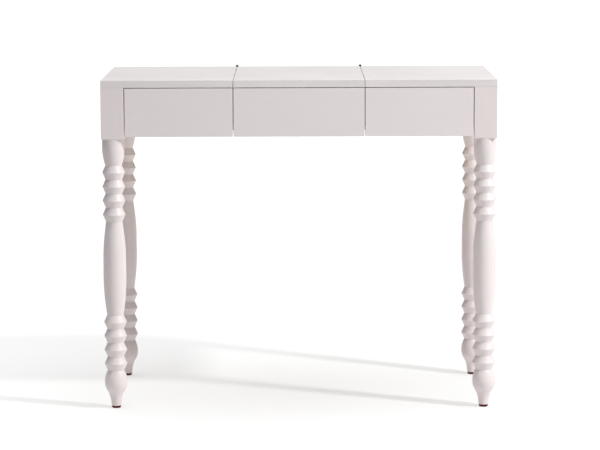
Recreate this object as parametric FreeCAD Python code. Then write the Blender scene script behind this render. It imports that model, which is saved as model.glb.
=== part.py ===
"""Painted dressing table on four turned legs, with two drawers and a centre lid that lifts over a mirror.

Every sub-part is one function below, built in place, and is written to parts/NODE.step.
Millimetres, +X to the sitter's right, +Y to the back, +Z up. The origin is on the floor, under the
middle of the table. A left-hand piece is modelled, and its right-hand twin is its mirror image in X = 0.
"""
import FreeCAD, Part
import os

# ---- overall size
WIDTH = 914.0
DEPTH = 457.0
HEIGHT = 770.0  # floor to the top's upper face

# ---- boards
TOP_T = 17.0
FRONT_T = 18.0
APRON_T = 20.0
BACK_T = 18.0
DIVIDER_T = 15.0
RAIL_T = 16.0
FLOOR_T = 6.0
EASE = 0.8  # rounding of every painted arris

# ---- top and lid
LID_PITCH = 304.0  # seam to seam
LID_GAP = 1.2
LID_REST = 1.6  # the boards under the lid stop this far below it

# ---- turned legs
BLOCK = 53.0
BLOCK_H = 118.5
SHOULDER_R = 26.1
SHOULDER_STRAIGHT = 23.9
SHOULDER_CURVE = 39.0
BEADS = 4
BEAD_PITCH = 32.8
BEAD_PEAK_R = 26.4
BEAD_GROOVE_R = 19.2
BEAD_FLAT = 0.5  # width of the blunted peak of a bead
BELLY_R = 26.5
FOOT_L = 83.5
FOOT_R = 26.5
ANKLE_R = 12.4
LEG_END_R = 11.4

# ---- glides
GLIDE_T = 6.0
GLIDE_R = 10.5
GLIDE_ROUND = 2.4
GLIDE_NAIL_R = 1.3
GLIDE_NAIL_L = 19.0
GLIDE_NAIL_HEAD_R = 3.2
GLIDE_NAIL_HEAD_T = 1.2
GLIDE_NAIL_SUNK = 0.8

# ---- frame
FRAME_SET_IN = 2.0  # side and back aprons stand this far inside the leg blocks' outer faces
APRON_CLEAR = 5.0  # the leg blocks run on this far below fronts and aprons
TENON_L = 20.0
TENON_T = 10.0
TENON_SHOULDER = 12.0
TENON_PLAY = 0.1
TENON_END = 1.0
STUB_L = 6.0
RAIL_BEHIND_FRONT = 7.0
LOWER_RAIL_D = 25.0
LOWER_RAIL_LIFT = 13.0  # finger room between the fronts' lower edge and the rail
UPPER_RAIL_D = 38.0
RAIL_TENON_L = 15.0
PACKER_H = 36.0
CLEAT = 20.0
CLEAT_END = 15.0
FRONT_CLEAT = 15.0
CLEAT_LIFT = 4.0

# ---- fronts
FRONT_GAP = 1.8
FRONT_TOP_GAP = 1.6

# ---- drawers
DRAWER_SIDE_T = 12.0
DRAWER_BOTTOM_T = 6.0
DRAWER_PLAY = 1.0  # each side
DRAWER_HEADROOM = 3.0  # above and below the box
DRAWER_BACK_ROOM = 28.0  # from the box to the back panel
DRAWER_DADO = 6.0  # how far the sides are let into the front
BOTTOM_RISE = 6.0  # the bottom board's height above the sides' lower edge
BOARD_GROOVE = 5.0
BOARD_PLAY = 0.15
NAIL_INSET = 12.0
DRAWER_TRAVEL = 260.0

# ---- runners
RUNNER_H = 16.0
RUNNER_OUT = 7.0
RUNNER_PLAY = 0.3
RUNNER_FACE_PLAY = 1.0
RUNNER_SET_BACK = 5.0  # from the front's rear face to the runner's end
RUNNER_STOP_PLAY = 0.5
RUNNER_SCREW_SUNK = 1.5

# ---- compartment under the lid
COMPARTMENT_FLOOR_RISE = 6.0  # above the lower rail
BUMPER_R = 5.0
BUMPER_PLAY = 0.1
BUMPER_X = 118.0

# ---- mirror
MIRROR_W = 256.0
MIRROR_L = 344.0
MIRROR_T = 4.0
CLIP_W = 16.0
CLIP_T = 1.6
CLIP_LAP = 5.0
CLIP_FOOT = 12.0
CLIP_PLAY = 0.2
CLIP_SPREAD = 84.0

# ---- pivot hinges
EYE_R = 4.0
LEAF_T = 2.3
LEAF_L = 46.0
LEAF_H = 9.0
LEAF_DROP = 3.6  # from the pivot down to the leaf's upper edge
LEAF_PLAY = 0.1
PIN_R = 1.6
PIN_PLAY = 0.05
WASHER_R = 3.6
WASHER_PLAY = 0.1

# ---- fasteners: head radius, shank radius and, where no board sets it, length
FRAME_SCREW = (4.0, 2.0)
FRAME_SCREW_SUNK = 0.4
FRAME_SCREW_BITE = 9.0  # into the apron, beyond the packing strip
TOP_SCREW = (4.0, 2.0)
TOP_SCREW_COVER = 6.0  # wood left above the point
RUNNER_SCREW = (3.4, 1.6)
RUNNER_SCREW_COVER = 2.5  # wood left beyond the point in a divider
HINGE_SCREW = (2.6, 1.3, 16.0)
HINGE_SCREW_SUNK = 0.2
CLIP_SCREW = (2.6, 1.3, 12.0)
DRAWER_NAIL = (2.2, 1.0, 24.0)
CLEAT_SCREW = (3.0, 1.5, 26.0)
# ---- planes and lengths that several pieces share
HALF_W = WIDTH / 2
HALF_D = DEPTH / 2
TOP_UNDER = HEIGHT - TOP_T
SEAM_X = LID_PITCH / 2
BLOCK_IN_X = HALF_W - BLOCK
BLOCK_IN_Y = HALF_D - BLOCK
BLOCK_FOOT = TOP_UNDER - BLOCK_H
LEG_X = HALF_W - BLOCK / 2
LEG_Y = HALF_D - BLOCK / 2
FRONT_FACE = -HALF_D
FRONT_BACK = FRONT_FACE + FRONT_T
APRON_FOOT = BLOCK_FOOT + APRON_CLEAR
FRONT_TOP = TOP_UNDER - FRONT_TOP_GAP
LID_BOARDS_TOP = TOP_UNDER - LID_REST
APRON_OUT_X = HALF_W - FRAME_SET_IN
APRON_IN_X = APRON_OUT_X - APRON_T
BACK_OUT_Y = HALF_D - FRAME_SET_IN
BACK_IN_Y = BACK_OUT_Y - BACK_T
LOWER_RAIL_Z = APRON_FOOT + LOWER_RAIL_LIFT
LOWER_RAIL_TOP = LOWER_RAIL_Z + RAIL_T
RAIL_Y = FRONT_BACK + RAIL_BEHIND_FRONT
UPPER_RAIL_Z = TOP_UNDER - RAIL_T
DIVIDER_OUT_X = SEAM_X + DIVIDER_T / 2
DIVIDER_IN_X = SEAM_X - DIVIDER_T / 2
COMPARTMENT_FLOOR_Z = LOWER_RAIL_TOP + COMPARTMENT_FLOOR_RISE
BOX_OUT_X = BLOCK_IN_X - DRAWER_PLAY
BOX_IN_X = DIVIDER_OUT_X + DRAWER_PLAY
BOX_Z = LOWER_RAIL_TOP + DRAWER_HEADROOM
BOX_TOP = UPPER_RAIL_Z - DRAWER_HEADROOM
BOX_BACK_Y = BACK_IN_Y - DRAWER_BACK_ROOM
BOTTOM_Z = BOX_Z + BOTTOM_RISE
RUNNER_Z = (BOX_Z + BOX_TOP - RUNNER_H) / 2
RUNNER_Y = FRONT_BACK + RUNNER_SET_BACK
RUNNER_END_Y = BACK_IN_Y - RUNNER_SET_BACK
HINGE_Y = HALF_D - EYE_R
LEAF_TOP = HEIGHT - LEAF_DROP
RUNNER_SCREW_L = RUNNER_OUT - RUNNER_SCREW_SUNK + DIVIDER_T - RUNNER_SCREW_COVER
FRAME_SCREW_L = APRON_IN_X - BLOCK_IN_X + FRAME_SCREW_BITE

X_AXIS = FreeCAD.Vector(1, 0, 0)
Y_AXIS = FreeCAD.Vector(0, 1, 0)
Z_AXIS = FreeCAD.Vector(0, 0, 1)
ORIGIN = FreeCAD.Vector(0, 0, 0)


# ---- small helpers
def block(x, y, z):
    """A box from three (low, high) pairs."""
    corner = FreeCAD.Vector(min(x), min(y), min(z))
    return Part.makeBox(abs(x[1] - x[0]), abs(y[1] - y[0]), abs(z[1] - z[0]), corner)


def rod(radius, length, at, along):
    """A cylinder that starts at a point and runs along a direction."""
    return Part.makeCylinder(radius, length, FreeCAD.Vector(*at), along)


def eased(shape, size=EASE):
    """The shape with all its straight arrises rounded."""
    return shape.makeFillet(size, shape.Edges)


def mirrored(shape):
    """The right-hand twin of a left-hand piece."""
    return shape.mirror(ORIGIN, X_AXIS)


def group(shapes):
    """Separate solids in one node."""
    return Part.makeCompound(shapes)


def turned(edges):
    """A solid of revolution about Z from edges that run from axis to axis in the XZ plane."""
    wire = Part.Wire(edges)
    face = Part.Face(wire)
    return face.revolve(ORIGIN, Z_AXIS, 360)


def rz(r, z):
    """A point of a turning profile."""
    return FreeCAD.Vector(r, 0, z)


def line(a, b):
    """A straight profile edge between two (r, z) points."""
    return Part.LineSegment(rz(*a), rz(*b)).toShape()


def arc(a, middle, b):
    """A circular profile edge through three (r, z) points."""
    return Part.Arc(rz(*a), rz(*middle), rz(*b)).toShape()


def placed(shape, at, along):
    """A copy of a fastener modelled head up at the origin, with its point turned to look along."""
    turn = FreeCAD.Rotation(FreeCAD.Vector(0, 0, -1), along)
    copy = shape.copy()
    copy.Placement = FreeCAD.Placement(FreeCAD.Vector(*at), turn)
    return copy


def screw(head_r, shank_r, length):
    """Countersunk cross-head wood screw, head up, its flat face at the origin."""
    head_h = head_r - shank_r
    tip_h = 2 * shank_r
    profile = [
        line((0, 0), (head_r, 0)),
        line((head_r, 0), (head_r, -0.3)),
        line((head_r, -0.3), (shank_r, -0.3 - head_h)),
        line((shank_r, -0.3 - head_h), (shank_r, tip_h - length)),
        line((shank_r, tip_h - length), (0, -length)),
        line((0, -length), (0, 0)),
    ]
    body = turned(profile)
    half, slot, deep = 0.62 * head_r, 0.14 * head_r, 0.5 * head_h
    for x, y in ((half, slot), (slot, half)):
        body = body.cut(block((-x, x), (-y, y), (-deep, 1)))
    return body


def screw_seat(head_r, shank_r, length):
    """What a screw's own outline takes out of the metal leaf or strip that it holds."""
    head_h = head_r - shank_r
    cone = Part.makeCone(shank_r, head_r, head_h, rz(0, -0.3 - head_h))
    rim = Part.makeCylinder(head_r, 1.3, rz(0, -0.3))
    return cone.fuse(rim).fuse(Part.makeCylinder(shank_r, length, rz(0, -length)))


def nail(head_r, shank_r, length):
    """Flat-headed nail, head up, its top at the origin."""
    head = Part.makeCylinder(head_r, 1.0, rz(0, -1.0))
    shank = Part.makeCylinder(shank_r, length - 2.0, rz(0, 1.0 - length))
    point = Part.makeCone(0.2, shank_r, 2.0, rz(0, -1.0 - length))
    return head.fuse(shank).fuse(point).removeSplitter()


# ---- joinery: the tenon of a piece and the mortise that takes it
def side_tenon(play=0.0, end=0.0):
    """Tenon on the left side apron's front end, or with play and end its mortise."""
    middle = -(APRON_OUT_X + APRON_IN_X) / 2
    half = TENON_T / 2 + play
    z = (APRON_FOOT + TENON_SHOULDER - play, TOP_UNDER - TENON_SHOULDER + play)
    return block((middle - half, middle + half), (-BLOCK_IN_Y - TENON_L - end, -BLOCK_IN_Y), z)


def back_tenon(play=0.0, end=0.0):
    """Tenon on the back panel's left end, or with play and end its mortise."""
    middle = (BACK_OUT_Y + BACK_IN_Y) / 2
    half = TENON_T / 2 + play
    z = (APRON_FOOT + TENON_SHOULDER - play, TOP_UNDER - TENON_SHOULDER + play)
    return block((-BLOCK_IN_X - TENON_L - end, -BLOCK_IN_X), (middle - half, middle + half), z)


def rail_tenon(rail_z, play=0.0, end=0.0):
    """Tenon on a front rail's outer left end, or with play and end its mortise."""
    y = (RAIL_Y + EASE - play, RAIL_Y + LOWER_RAIL_D - EASE + play)
    z = (rail_z + RAIL_T / 4 - play, rail_z + 3 * RAIL_T / 4 + play)
    return block((-BLOCK_IN_X - RAIL_TENON_L - end, -BLOCK_IN_X), y, z)


def rail_stub(play=0.0, end=0.0):
    """Stub tenon of the left upper front rail in the divider, or with play and end its housing."""
    y = (RAIL_Y + EASE - play, RAIL_Y + LOWER_RAIL_D - EASE + play)
    z = (UPPER_RAIL_Z + RAIL_T / 4 - play, UPPER_RAIL_Z + 3 * RAIL_T / 4 + play)
    return block((-DIVIDER_OUT_X, -DIVIDER_OUT_X + STUB_L + end), y, z)


def flip_y(shape):
    """The rear twin of a piece at the front."""
    return shape.mirror(ORIGIN, Y_AXIS)


# ---- legs and glides
def leg_turning():
    """The turned part of a leg about Z: shoulder, four beads, belly, four beads, foot."""
    top = BLOCK_FOOT + 1.0
    edges = [line((0, top), (SHOULDER_R, top))]
    here = (SHOULDER_R, BLOCK_FOOT - SHOULDER_STRAIGHT)
    edges.append(line((SHOULDER_R, top), here))
    groove = (BEAD_GROOVE_R, here[1] - SHOULDER_CURVE)
    bow = (SHOULDER_R - 0.27 * (SHOULDER_R - BEAD_GROOVE_R), here[1] - 0.5 * SHOULDER_CURVE)
    edges.append(arc(here, bow, groove))
    here = beads(edges, groove)
    belly_foot = GLIDE_T + FOOT_L + BEADS * BEAD_PITCH
    here = belly(edges, here, belly_foot)
    here = beads(edges, here)
    foot(edges, here)
    return turned(edges)


def beads(edges, start):
    """Adds a run of sharp beads below a groove, and gives the groove that it ends in."""
    r, z = start
    for _ in range(BEADS):
        upper = (BEAD_PEAK_R, z - (BEAD_PITCH - BEAD_FLAT) / 2)
        lower = (BEAD_PEAK_R, z - (BEAD_PITCH + BEAD_FLAT) / 2)
        end = (r, z - BEAD_PITCH)
        edges += [line((r, z), upper), line(upper, lower), line(lower, end)]
        z = end[1]
    return (r, z)


def belly(edges, start, foot_z):
    """Adds the long belly: a coned neck, a full middle and a quicker fall to the lower groove."""
    r, z = start
    length = z - foot_z
    rise = BELLY_R - r

    def at(share, fullness):
        return (r + fullness * rise, z - share * length)

    neck, brow, full, waist = at(0.165, 0.6), at(0.265, 0.86), at(0.415, 0.975), at(0.645, 0.99)
    end = (r, foot_z)
    edges.append(line(start, neck))
    edges.append(arc(neck, brow, full))
    edges.append(arc(full, at(0.53, 1.0), waist))
    edges.append(arc(waist, at(0.82, 0.68), end))
    return end


def foot(edges, start):
    """Adds the bulb and the ankle down to the glide, and closes the profile on the axis."""
    r, z = start
    length = z - GLIDE_T

    def at(radius, share):
        return (radius, z - share * length)

    bulb, under = at(FOOT_R, 0.32), at(FOOT_R - 4.7, 0.56)
    ankle, end = at(ANKLE_R, 0.86), (LEG_END_R, GLIDE_T)
    edges.append(arc(start, at(FOOT_R - 2.4, 0.14), bulb))
    edges.append(arc(bulb, at(FOOT_R - 1.1, 0.45), under))
    edges.append(arc(under, at(ANKLE_R + 3.4, 0.7), ankle))
    edges.append(line(ankle, end))
    edges.append(line(end, (0, GLIDE_T)))
    edges.append(line((0, GLIDE_T), (0, BLOCK_FOOT + 1.0)))


def leg_blank():
    """A leg without its joints: square block on top, turning below, nail hole in the foot."""
    half = BLOCK / 2
    square = block((-half, half), (-half, half), (BLOCK_FOOT, TOP_UNDER))
    uprights = [e for e in square.Edges if e.BoundBox.ZLength > BLOCK_H / 2]
    square = square.makeFillet(EASE, uprights)
    whole = square.fuse(leg_turning())
    nail_hole = Part.makeCylinder(GLIDE_NAIL_R, GLIDE_NAIL_L, rz(0, GLIDE_NAIL_SUNK))
    return whole.cut(nail_hole)


def leg_front_left():
    """Front left leg, mortised for the side apron and both front rails."""
    leg = leg_blank()
    leg.translate(FreeCAD.Vector(-LEG_X, -LEG_Y, 0))
    leg = leg.cut(side_tenon(TENON_PLAY, TENON_END))
    for rail_z in (LOWER_RAIL_Z, UPPER_RAIL_Z):
        leg = leg.cut(rail_tenon(rail_z, TENON_PLAY, TENON_END))
    return leg


def leg_rear_left():
    """Rear left leg, mortised for the side apron and the back panel."""
    leg = leg_blank()
    leg.translate(FreeCAD.Vector(-LEG_X, LEG_Y, 0))
    leg = leg.cut(flip_y(side_tenon(TENON_PLAY, TENON_END)))
    return leg.cut(back_tenon(TENON_PLAY, TENON_END))


def glide(x, y):
    """Nail-on glide: a moulded disc with a rounded tread and a sunk hole for its nail."""
    disc = Part.makeCylinder(GLIDE_R, GLIDE_T)
    tread = [e for e in disc.Edges if e.BoundBox.ZMax < 0.1]
    disc = disc.makeFillet(GLIDE_ROUND, tread)
    disc = disc.cut(Part.makeCylinder(GLIDE_NAIL_R, GLIDE_T))
    sink = GLIDE_NAIL_SUNK + GLIDE_NAIL_HEAD_T
    disc = disc.cut(Part.makeCylinder(GLIDE_NAIL_HEAD_R, sink))
    disc.translate(FreeCAD.Vector(x, y, 0))
    return disc


def glide_nails():
    """The four nails that hold the glides, heads sunk above the tread."""
    nails = []
    for x in (-LEG_X, LEG_X):
        for y in (-LEG_Y, LEG_Y):
            head = rod(GLIDE_NAIL_HEAD_R, GLIDE_NAIL_HEAD_T, (x, y, GLIDE_NAIL_SUNK), Z_AXIS)
            shank = rod(GLIDE_NAIL_R, GLIDE_NAIL_L, (x, y, GLIDE_NAIL_SUNK), Z_AXIS)
            nails.append(head.fuse(shank))
    return group(nails)


# ---- frame
def side_apron_left():
    """Left side apron, tenoned into both left legs."""
    z = (APRON_FOOT, TOP_UNDER)
    board = block((-APRON_OUT_X, -APRON_IN_X), (-BLOCK_IN_Y, BLOCK_IN_Y), z)
    lower = [e for e in board.Edges if e.BoundBox.ZMax < APRON_FOOT + 0.1 and e.BoundBox.YLength > BLOCK]
    board = board.makeFillet(EASE, lower)
    front = side_tenon()
    return board.fuse(front).fuse(flip_y(front))


def back_panel():
    """Back panel between the rear legs, rebated under the lid and housed for the dividers."""
    board = block((-BLOCK_IN_X, BLOCK_IN_X), (BACK_IN_Y, BACK_OUT_Y), (APRON_FOOT, TOP_UNDER))
    lower = [e for e in board.Edges if e.BoundBox.ZMax < APRON_FOOT + 0.1 and e.BoundBox.XLength > BLOCK]
    board = board.makeFillet(EASE, lower)
    left = back_tenon()
    board = board.fuse(left).fuse(mirrored(left))
    board = board.cut(block((-SEAM_X, SEAM_X), (BACK_IN_Y - 1, BACK_OUT_Y + 1), (LID_BOARDS_TOP, HEIGHT)))
    housing = block(
        (-DIVIDER_OUT_X - TENON_PLAY, -DIVIDER_IN_X + TENON_PLAY),
        (BACK_IN_Y - 1, BACK_IN_Y + STUB_L + TENON_END),
        (LOWER_RAIL_TOP - TENON_PLAY, HEIGHT),
    )
    return board.cut(housing).cut(mirrored(housing))


def lower_front_rail():
    """Rail across the front, tenoned into both front legs, that carries the dividers."""
    y = (RAIL_Y, RAIL_Y + LOWER_RAIL_D)
    rail = block((-BLOCK_IN_X, BLOCK_IN_X), y, (LOWER_RAIL_Z, LOWER_RAIL_TOP))
    left = rail_tenon(LOWER_RAIL_Z)
    return rail.fuse(left).fuse(mirrored(left))


def upper_front_rail_left():
    """Rail above the left drawer box, from the front leg to the divider, that takes two top screws."""
    y = (RAIL_Y, RAIL_Y + UPPER_RAIL_D)
    rail = block((-BLOCK_IN_X, -DIVIDER_OUT_X), y, (UPPER_RAIL_Z, TOP_UNDER))
    rail = rail.cut(block((-HALF_W, -BLOCK_IN_X + 1), (-BLOCK_IN_Y, HALF_D), (UPPER_RAIL_Z - 1, HEIGHT)))
    rail = rail.fuse(rail_tenon(UPPER_RAIL_Z)).fuse(rail_stub())
    for at in upper_rail_screw_places():
        rail = rail.cut(rod(TOP_SCREW[1], RAIL_T, at, Z_AXIS))
    return rail


def divider_left():
    """Upright between the left drawer and the compartment, low on the lid's side of the seam."""
    board = block(
        (-DIVIDER_OUT_X, -DIVIDER_IN_X),
        (FRONT_BACK, BACK_IN_Y + STUB_L),
        (LOWER_RAIL_TOP, TOP_UNDER),
    )
    lid_side = block((-SEAM_X, 0), (-HALF_D, HALF_D), (LID_BOARDS_TOP, HEIGHT))
    board = board.cut(lid_side).cut(rail_stub(TENON_PLAY, TENON_END))
    board = board.cut(compartment_floor_outline(BOARD_PLAY))
    return board


def compartment_floor_outline(play=0.0):
    """The compartment's floor, or with play the grooves that hold it."""
    side = DIVIDER_IN_X + BOARD_GROOVE + 2 * play
    z = (COMPARTMENT_FLOOR_Z - play, COMPARTMENT_FLOOR_Z + FLOOR_T + play)
    return block((-side, side), (FRONT_BACK + TENON_PLAY, BACK_IN_Y - TENON_PLAY), z)


def centre_front():
    """Fixed front of the compartment, level with the drawer fronts."""
    half = SEAM_X - FRONT_GAP / 2
    board = block((-half, half), (FRONT_FACE, FRONT_BACK), (APRON_FOOT, LID_BOARDS_TOP))
    return eased(board)


def centre_front_cleats():
    """Two upright square strips that screw the centre front to the dividers, inside the compartment."""
    z = (COMPARTMENT_FLOOR_Z + FLOOR_T + CLEAT_LIFT, LID_BOARDS_TOP - CLEAT_LIFT)
    x = (-DIVIDER_IN_X, -DIVIDER_IN_X + FRONT_CLEAT)
    left = block(x, (FRONT_BACK, FRONT_BACK + FRONT_CLEAT), z)
    for at in front_cleat_screw_places():
        left = left.cut(rod(CLEAT_SCREW[1], FRONT_CLEAT, (at[0], FRONT_BACK, at[2]), Y_AXIS))
    return group([left, mirrored(left)])


def runner_packer_left():
    """Packing strip that brings the apron's inner face level with the leg blocks."""
    z = RUNNER_Z + RUNNER_H / 2
    strip = block(
        (-APRON_IN_X, -BLOCK_IN_X),
        (-BLOCK_IN_Y + TENON_PLAY, BLOCK_IN_Y - TENON_PLAY),
        (z - PACKER_H / 2, z + PACKER_H / 2),
    )
    return strip


def top_cleat_left():
    """Square strip in the corner of the apron and the left top."""
    ends = BLOCK_IN_Y - CLEAT_END
    strip = block((-APRON_IN_X, -APRON_IN_X + CLEAT), (-ends, ends), (TOP_UNDER - CLEAT, TOP_UNDER))
    for at in cleat_screw_places():
        strip = strip.cut(rod(TOP_SCREW[1], CLEAT, at, Z_AXIS))
    return strip


# ---- drawer runners
def runner_outer_left():
    """Hardwood runner on the left packing strip and leg blocks, screwed on through its face."""
    return runner(-BLOCK_IN_X, 1)


def runner_inner_left():
    """Hardwood runner on the left divider."""
    return runner(-DIVIDER_OUT_X, -1)


def runner(face_x, out):
    """A runner on an upright face, standing out by its thickness towards out (1 or -1)."""
    z = (RUNNER_Z, RUNNER_Z + RUNNER_H)
    strip = block((face_x, face_x + out * RUNNER_OUT), (RUNNER_Y, RUNNER_END_Y), z)
    for y in runner_screw_ys():
        at = (face_x + out * (RUNNER_OUT - RUNNER_SCREW_SUNK), y, RUNNER_Z + RUNNER_H / 2)
        strip = strip.cut(placed(screw_seat(*RUNNER_SCREW, RUNNER_SCREW_L), at, X_AXIS * -out))
    return strip


def runner_screw_ys():
    """Places of a runner's three screws: in the front leg, in mid length, in the rear leg."""
    return (-LEG_Y, 0.0, LEG_Y - RUNNER_SET_BACK)


def runner_screws():
    """The twelve countersunk screws of the four runners, heads below the rubbing face."""
    screws = []
    for face_x, out in ((-BLOCK_IN_X, 1), (-DIVIDER_OUT_X, -1)):
        for y in runner_screw_ys():
            at = (face_x + out * (RUNNER_OUT - RUNNER_SCREW_SUNK), y, RUNNER_Z + RUNNER_H / 2)
            one = placed(screw(*RUNNER_SCREW, RUNNER_SCREW_L), at, X_AXIS * -out)
            screws += [one, mirrored(one)]
    return group(screws)


# ---- screws of the frame
def cleat_screw_places():
    """Starts of the three holes up through the left top cleat."""
    x = -APRON_IN_X + CLEAT / 2
    reach = BLOCK_IN_Y - CLEAT_END - CLEAT
    return [(x, y, TOP_UNDER - CLEAT) for y in (-reach, 0.0, reach)]


def upper_rail_screw_places():
    """Starts of the two holes up through the left upper front rail."""
    y = RAIL_Y + UPPER_RAIL_D / 2
    xs = (-BLOCK_IN_X + 2 * CLEAT, -DIVIDER_OUT_X - 2 * CLEAT)
    return [(x, y, UPPER_RAIL_Z) for x in xs]


def front_cleat_screw_places():
    """Heads of the left corner cleat's two screws into the centre front."""
    x = -DIVIDER_IN_X + 0.55 * FRONT_CLEAT
    low = COMPARTMENT_FLOOR_Z + FLOOR_T + 3.5 * CLEAT_LIFT
    high = LID_BOARDS_TOP - 3.5 * CLEAT_LIFT
    return [(x, FRONT_BACK + FRONT_CLEAT, z) for z in (low, high)]


def top_screws():
    """Screws that pull the two fixed tops down to their cleats and rails."""
    screws = []
    for x, y, z in cleat_screw_places() + upper_rail_screw_places():
        length = HEIGHT - TOP_SCREW_COVER - z
        one = placed(screw(*TOP_SCREW, length), (x, y, z), Z_AXIS)
        screws += [one, mirrored(one)]
    return group(screws)


def frame_screws():
    """Screws of the packing strips into the side aprons, and of the corner cleats."""
    screws = []
    z = RUNNER_Z + RUNNER_H / 2
    for y in (-BLOCK_IN_Y / 2, BLOCK_IN_Y / 2):
        one = placed(screw(*FRAME_SCREW, FRAME_SCREW_L), (-BLOCK_IN_X - FRAME_SCREW_SUNK, y, z), -X_AXIS)
        screws += [one, mirrored(one)]
    for at in front_cleat_screw_places():
        one = placed(screw(*CLEAT_SCREW), at, -Y_AXIS)
        screws += [one, mirrored(one)]
    return group(screws)


# ---- fixed tops and lid
def hinge_mortise():
    """Seat for the left hinge's fixed leaf and eye in the fixed top's end."""
    x = -SEAM_X - LID_GAP / 2
    return hinge_leaf_outline(x - LEAF_T - LEAF_PLAY, x + 1, LEAF_PLAY)


def lid_mortise():
    """Seat for the left hinge's moving leaf and eye in the lid's left end."""
    x = -SEAM_X + LID_GAP / 2
    return hinge_leaf_outline(x - 1, x + LEAF_T + LEAF_PLAY, LEAF_PLAY)


def hinge_leaf_outline(x0, x1, play=0.0):
    """A leaf with its eye between two X planes; with play it is the mortise."""
    bar = block(
        (x0, x1),
        (HINGE_Y - LEAF_L - play, HINGE_Y),
        (LEAF_TOP - LEAF_H - play, LEAF_TOP + play),
    )
    neck = block((x0, x1), (HINGE_Y - EYE_R - play, HINGE_Y + play), (LEAF_TOP - LEAF_H / 2, HEIGHT))
    eye = rod(EYE_R + play, x1 - x0, (x0, HINGE_Y, HEIGHT), X_AXIS)
    return bar.fuse(neck).fuse(eye).removeSplitter()


def top_left():
    """Fixed left top, mortised at its inner end for the hinge leaf."""
    board = block((-HALF_W, -SEAM_X - LID_GAP / 2), (-HALF_D, HALF_D), (TOP_UNDER, HEIGHT))
    return eased(board).cut(hinge_mortise())


def lid_panel():
    """Lift-up centre of the top, mortised at both ends for the moving hinge leaves."""
    half = SEAM_X - LID_GAP / 2
    board = eased(block((-half, half), (-HALF_D, HALF_D), (TOP_UNDER, HEIGHT)))
    left = lid_mortise()
    return board.cut(left).cut(mirrored(left))


def lid_bumpers():
    """Three thin pads on the centre front that the closed lid rests on."""
    y = (FRONT_FACE + FRONT_BACK) / 2
    thick = LID_REST - BUMPER_PLAY
    return group([rod(BUMPER_R, thick, (x, y, LID_BOARDS_TOP), Z_AXIS) for x in (-BUMPER_X, 0.0, BUMPER_X)])


# ---- pivot hinges
def hinge_screw_ys():
    """Places of the two screws along a hinge leaf."""
    return (HINGE_Y - 0.42 * LEAF_L, HINGE_Y - 0.8 * LEAF_L)


def hinge_leaf(x_face, out):
    """A flat leaf let into a board's end; x_face is the end's plane, out points into the gap."""
    back = x_face - out * LEAF_T
    leaf = hinge_leaf_outline(min(x_face, back), max(x_face, back))
    for y in hinge_screw_ys():
        at = (x_face - out * HINGE_SCREW_SUNK, y, LEAF_TOP - LEAF_H / 2)
        leaf = leaf.cut(placed(screw_seat(*HINGE_SCREW), at, X_AXIS * -out))
    return leaf


def hinge_case_leaf_left():
    """Fixed leaf of the left hinge, its eye a tight fit on the pin."""
    x = -SEAM_X - LID_GAP / 2
    return hinge_leaf(x, 1).cut(rod(PIN_R, WIDTH, (-HALF_W, HINGE_Y, HEIGHT), X_AXIS))


def hinge_lid_leaf_left():
    """Moving leaf of the left hinge, its eye a running fit on the pin."""
    x = -SEAM_X + LID_GAP / 2
    return hinge_leaf(x, -1).cut(rod(PIN_R + PIN_PLAY, WIDTH, (-HALF_W, HINGE_Y, HEIGHT), X_AXIS))


def hinge_pins():
    """The two pivot pins, each as long as its two eyes and the washer between them."""
    pin = rod(PIN_R, 2 * LEAF_T + LID_GAP, (-SEAM_X - LID_GAP / 2 - LEAF_T, HINGE_Y, HEIGHT), X_AXIS)
    return group([pin, mirrored(pin)])


def hinge_washers():
    """The two washers that keep the eyes of a hinge apart."""
    thick = LID_GAP - WASHER_PLAY
    at = (-SEAM_X - LID_GAP / 2, HINGE_Y, HEIGHT)
    washer = rod(WASHER_R, thick, at, X_AXIS).cut(rod(PIN_R, thick, at, X_AXIS))
    return group([washer, mirrored(washer)])


def hinge_screws(x_face, out):
    """Four screws that hold one kind of leaf at both hinges."""
    screws = []
    for y in hinge_screw_ys():
        at = (x_face - out * HINGE_SCREW_SUNK, y, LEAF_TOP - LEAF_H / 2)
        one = placed(screw(*HINGE_SCREW), at, X_AXIS * -out)
        screws += [one, mirrored(one)]
    return group(screws)


def hinge_case_screws():
    """Screws of the fixed leaves."""
    return hinge_screws(-SEAM_X - LID_GAP / 2, 1)


def hinge_lid_screws():
    """Screws of the moving leaves."""
    return hinge_screws(-SEAM_X + LID_GAP / 2, -1)


# ---- mirror
def mirror():
    """Plain mirror plate flat against the lid's underside."""
    z = (TOP_UNDER - MIRROR_T, TOP_UNDER)
    return block((-MIRROR_W / 2, MIRROR_W / 2), (-MIRROR_L / 2, MIRROR_L / 2), z)


def clip_places():
    """(x, direction) of each clip on the mirror's front and rear edges."""
    return [(x, side) for x in (-CLIP_SPREAD, CLIP_SPREAD) for side in (-1, 1)]


def mirror_clips():
    """Four stepped clips that lap the mirror's edge and are screwed to the lid."""
    clips = []
    low = TOP_UNDER - MIRROR_T - CLIP_PLAY - CLIP_T
    for x, side in clip_places():
        edge = side * (MIRROR_L / 2)
        wide = (x - CLIP_W / 2, x + CLIP_W / 2)
        lap = block(wide, (edge - side * CLIP_LAP, edge + side * (CLIP_PLAY + CLIP_T)), (low, low + CLIP_T))
        riser = block(wide, (edge + side * CLIP_PLAY, edge + side * (CLIP_PLAY + CLIP_T)), (low, TOP_UNDER))
        tread = (edge + side * CLIP_PLAY, edge + side * (CLIP_PLAY + CLIP_FOOT))
        pad = block(wide, tread, (TOP_UNDER - CLIP_T, TOP_UNDER))
        clip = lap.fuse(riser).fuse(pad).removeSplitter()
        clips.append(clip.cut(placed(screw_seat(*CLIP_SCREW), clip_screw_at(x, side), Z_AXIS)))
    return group(clips)


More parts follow.
